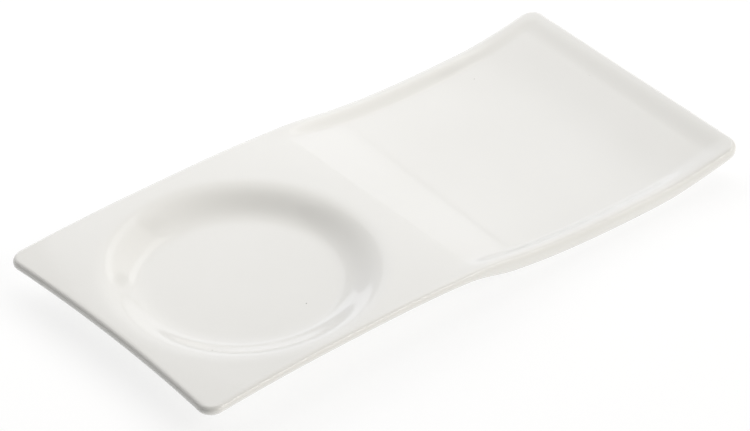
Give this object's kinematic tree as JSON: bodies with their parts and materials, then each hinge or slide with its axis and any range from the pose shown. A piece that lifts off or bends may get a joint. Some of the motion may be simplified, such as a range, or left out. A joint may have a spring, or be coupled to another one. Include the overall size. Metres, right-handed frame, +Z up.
{
  "type": "chip and dip server",
  "caption": "Glazed porcelain serving platter with a wavy profile: an arched end with a shallow round well for a dip, and a sunken, rimmed rectangular tray for chips that sweeps up at its far edge.",
  "frame": {"origin": "on the table, under the middle of the platter's length and width", "axes": "+X runs along the platter from the end with the dip well to the upswept end of the tray, +Y across it, +Z up from the table"},
  "size_m": [0.3174, 0.1524, 0.021],
  "materials": {
    "white_glaze": "gloss",
    "bare_biscuit": "matte"
  },
  "bodies": {
    "root": {"dip_end": "white_glaze", "chip_tray": "white_glaze", "well_foot_ring": "bare_biscuit", "tray_foot_ring": "bare_biscuit"}
  },
  "joints": []
}
